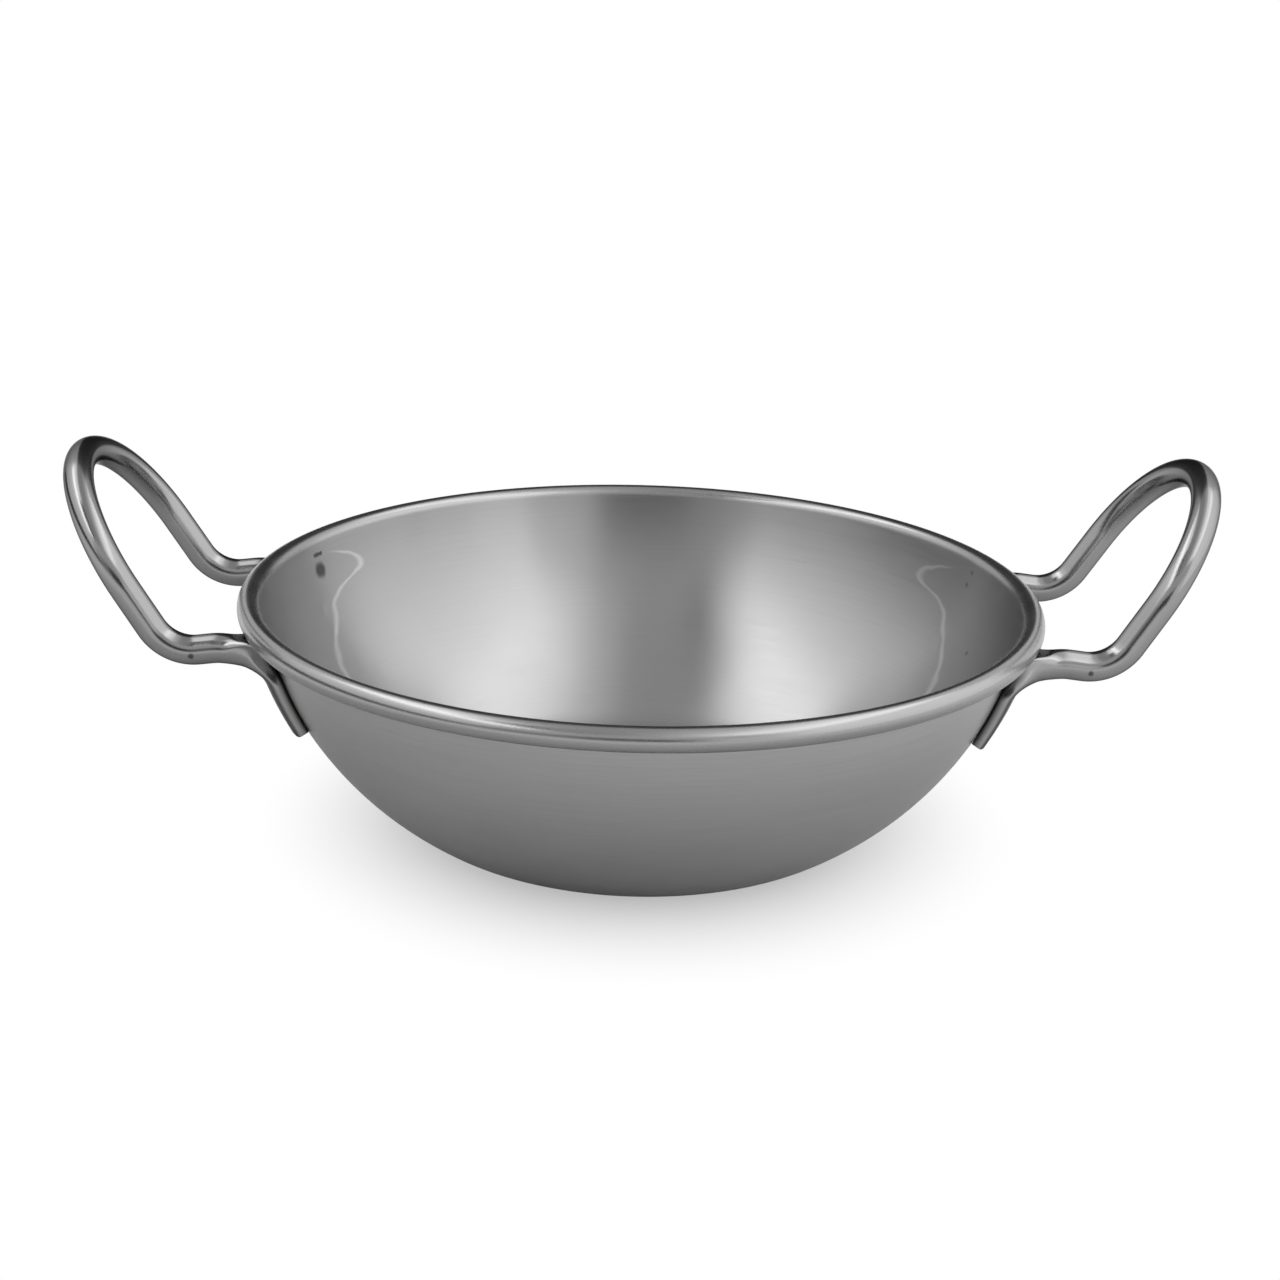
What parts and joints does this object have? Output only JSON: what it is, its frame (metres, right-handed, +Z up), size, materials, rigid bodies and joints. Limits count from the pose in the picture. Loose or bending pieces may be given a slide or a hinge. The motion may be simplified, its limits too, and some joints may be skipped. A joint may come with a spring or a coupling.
{
  "type": "balti dish",
  "caption": "Small round stainless steel balti dish with a rolled rim and upright wire loop handles, for serving or warming food.",
  "frame": {"origin": "centre of the flat base, on the surface the dish stands on", "axes": "+X from the left handle to the right handle, +Y away from the viewer of the picture, +Z up"},
  "size_m": [0.2119, 0.15, 0.0712],
  "materials": {
    "bowl_steel": "stainless sheet, fine brushed rings inside and satin outside",
    "handle_steel": "stainless wire, tumbled to a soft polish",
    "weld_steel": "bare spot weld, dull"
  },
  "bodies": {
    "root": {"bowl": "bowl_steel", "handle_right": "handle_steel", "handle_left": "handle_steel", "weld_right_back_lower": "weld_steel", "weld_right_back_upper": "weld_steel", "weld_right_front_lower": "weld_steel", "weld_right_front_upper": "weld_steel", "weld_left_back_lower": "weld_steel", "weld_left_back_upper": "weld_steel", "weld_left_front_lower": "weld_steel", "weld_left_front_upper": "weld_steel"}
  },
  "joints": []
}
